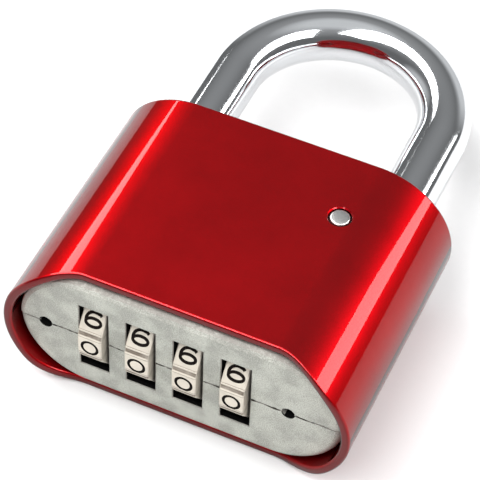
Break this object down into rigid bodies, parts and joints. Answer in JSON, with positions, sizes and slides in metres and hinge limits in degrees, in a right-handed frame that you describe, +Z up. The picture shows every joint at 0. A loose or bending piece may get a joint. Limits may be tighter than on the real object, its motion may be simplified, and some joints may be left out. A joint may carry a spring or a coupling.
{
  "type": "combination padlock",
  "caption": "Padlock with number dials on its lower end, a lacquered sleeve body round a cast core, and a round-bar shackle that lifts to open.",
  "frame": {"origin": "middle of the whole lock's footprint, on the surface its flat back lies on", "axes": "+Z up out of the front face, +Y from the dials to the bow of the shackle, +X to the right across the front face with the shackle away from the viewer"},
  "size_m": [0.05, 0.0752, 0.0232],
  "materials": {
    "red_lacquer": "glossy clear red lacquer over bright metal",
    "cast_zinc": "matt die-cast zinc, finely speckled",
    "shackle_chrome": "bright chrome plate",
    "dial_nickel": "satin nickel plate with a warm tint, black-filled numbers",
    "brass": "plain turned brass",
    "steel": "zinc-plated steel",
    "spring_steel": "bright drawn spring wire and strip"
  },
  "bodies": {
    "lock_body": {"shell": "red_lacquer", "front_core": "cast_zinc", "rear_core": "cast_zinc", "spindle": "steel", "spindle_washer": "steel", "spindle_spring": "spring_steel", "shackle_spring": "spring_steel", "retaining_pin": "steel", "detent_comb": "spring_steel", "core_dowel_1": "steel", "core_dowel_2": "steel"},
    "shackle": {"shackle": "shackle_chrome"},
    "dial_unit_1": {"dial_1": "dial_nickel", "gate_sleeve_1": "brass"},
    "dial_unit_2": {"dial_2": "dial_nickel", "gate_sleeve_2": "brass"},
    "dial_unit_3": {"dial_3": "dial_nickel", "gate_sleeve_3": "brass"},
    "dial_unit_4": {"dial_4": "dial_nickel", "gate_sleeve_4": "brass"},
    "heel_dog": {"heel_dog": "steel"},
    "toe_dog": {"toe_dog": "steel"},
    "fence": {"fence": "steel", "fence_spring_1": "spring_steel", "fence_spring_2": "spring_steel"}
  },
  "joints": [
    {"name": "shackle_slide", "type": "slide", "parent": "lock_body", "child": "shackle", "axis": [0, 1, 0], "range_m": [0, 0.011]},
    {"name": "dial_1_turn", "type": "hinge", "parent": "lock_body", "child": "dial_unit_1", "pos_m": [-0.01221, -0.03053, 0.0116], "axis": [1, 0, 0], "continuous": true},
    {"name": "dial_2_turn", "type": "hinge", "parent": "lock_body", "child": "dial_unit_2", "pos_m": [-0.00537, -0.03053, 0.0116], "axis": [1, 0, 0], "continuous": true},
    {"name": "dial_3_turn", "type": "hinge", "parent": "lock_body", "child": "dial_unit_3", "pos_m": [0.00147, -0.03053, 0.0116], "axis": [1, 0, 0], "continuous": true},
    {"name": "dial_4_turn", "type": "hinge", "parent": "lock_body", "child": "dial_unit_4", "pos_m": [0.00831, -0.03053, 0.0116], "axis": [1, 0, 0], "continuous": true},
    {"name": "heel_dog_throw", "type": "slide", "parent": "lock_body", "child": "heel_dog", "axis": [1, 0, 0], "range_m": [0, 0.0018]},
    {"name": "toe_dog_throw", "type": "slide", "parent": "lock_body", "child": "toe_dog", "axis": [-1, 0, 0], "range_m": [0, 0.0018]},
    {"name": "fence_lift", "type": "slide", "parent": "lock_body", "child": "fence", "axis": [0, 1, 0], "range_m": [0, 0.00108]}
  ],
  "couplings": [
    {"joint": "toe_dog_throw", "follows": "heel_dog_throw", "ratio": 1},
    {"joint": "fence_lift", "follows": "heel_dog_throw", "ratio": 0.6}
  ]
}
